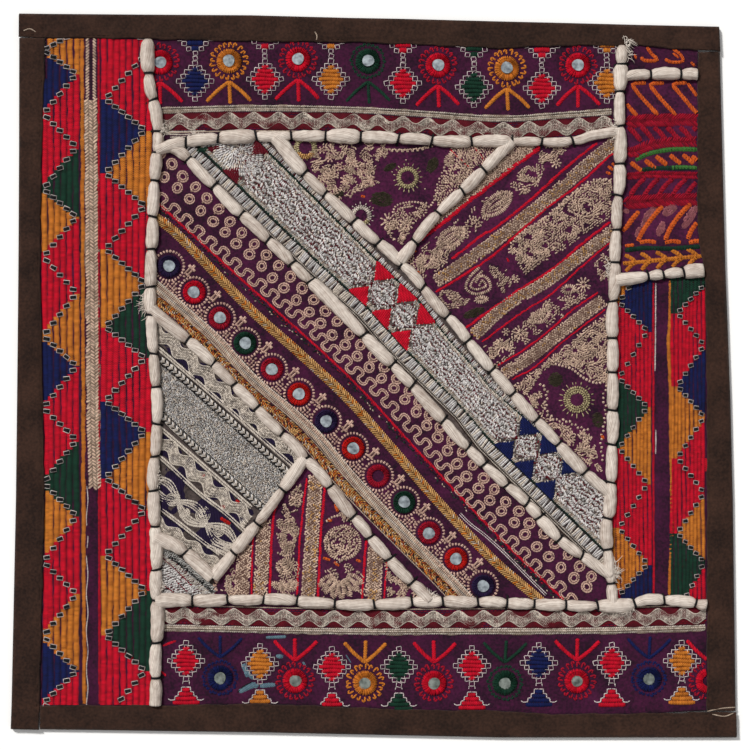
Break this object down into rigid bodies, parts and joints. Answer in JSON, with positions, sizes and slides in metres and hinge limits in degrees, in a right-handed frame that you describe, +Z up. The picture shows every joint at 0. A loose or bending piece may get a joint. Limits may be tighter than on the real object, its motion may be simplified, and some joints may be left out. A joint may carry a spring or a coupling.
{
  "type": "embroidered doily",
  "caption": "Flat square patchwork doily of mirror and satin embroidery, with couched white cords on its seams and a dark cloth binding.",
  "frame": {"origin": "middle of the underside, on the surface that the doily lies on", "axes": "+X towards its right edge, +Y towards its top edge as in the picture, +Z up out of its face"},
  "size_m": [0.414, 0.413, 0.0073],
  "materials": {
    "satin_red": "rows of crimson, ochre, blue and green satin stitches with a soft thread sheen",
    "purple_cloth": "matt dark purple plain-weave cotton under couched thread and galloon",
    "leaf_cloth": "matt purple cotton with orange, crimson and green leaf stitches",
    "beige_embroidery": "dense beige couched thread on purple cotton, worn in places",
    "silver_embroidery": "tarnished silver-grey metal-wrapped thread, softly shining",
    "cotton_cord": "unspun off-white cotton bundle tied with black thread",
    "binding_cloth": "matt dark brown plain-weave cotton",
    "mirror_glass": "old silvered glass, slightly clouded",
    "black_thread": "black sewing thread"
  },
  "bodies": {
    "root": {"left_panel": "satin_red", "right_panel": "satin_red", "top_strip": "purple_cloth", "bottom_strip": "purple_cloth", "edge_patch": "purple_cloth", "leaf_patch": "leaf_cloth", "upper_triangle": "purple_cloth", "striped_trapezoid": "beige_embroidery", "silver_band": "silver_embroidery", "mirror_band": "purple_cloth", "silver_patch": "silver_embroidery", "striped_triangle": "beige_embroidery", "corner_patch": "silver_embroidery", "cord_a": "cotton_cord", "cord_b": "cotton_cord", "cord_c": "cotton_cord", "cord_d": "cotton_cord", "cord_e": "cotton_cord", "cord_f": "cotton_cord", "cord_g": "cotton_cord", "cord_h": "cotton_cord", "cord_i": "cotton_cord", "cord_j": "cotton_cord", "cord_k": "cotton_cord", "cord_l": "cotton_cord", "binding_top": "binding_cloth", "binding_bottom": "binding_cloth", "binding_left": "binding_cloth", "binding_right": "binding_cloth", "mirror_top_1": "mirror_glass", "mirror_top_2": "mirror_glass", "mirror_top_3": "mirror_glass", "mirror_top_4": "mirror_glass", "mirror_top_5": "mirror_glass", "mirror_top_6": "mirror_glass", "mirror_top_7": "mirror_glass", "mirror_bottom_1": "mirror_glass", "mirror_bottom_2": "mirror_glass", "mirror_bottom_3": "mirror_glass", "mirror_bottom_4": "mirror_glass", "mirror_bottom_5": "mirror_glass", "mirror_bottom_6": "mirror_glass", "mirror_bottom_7": "mirror_glass", "mirror_band_1": "mirror_glass", "mirror_band_2": "mirror_glass", "mirror_band_3": "mirror_glass", "mirror_band_4": "mirror_glass", "mirror_band_5": "mirror_glass", "mirror_band_6": "mirror_glass", "mirror_band_7": "mirror_glass", "mirror_band_8": "mirror_glass", "mirror_band_9": "mirror_glass", "mirror_band_10": "mirror_glass", "mirror_band_11": "mirror_glass", "mirror_band_12": "mirror_glass"}
  },
  "joints": []
}
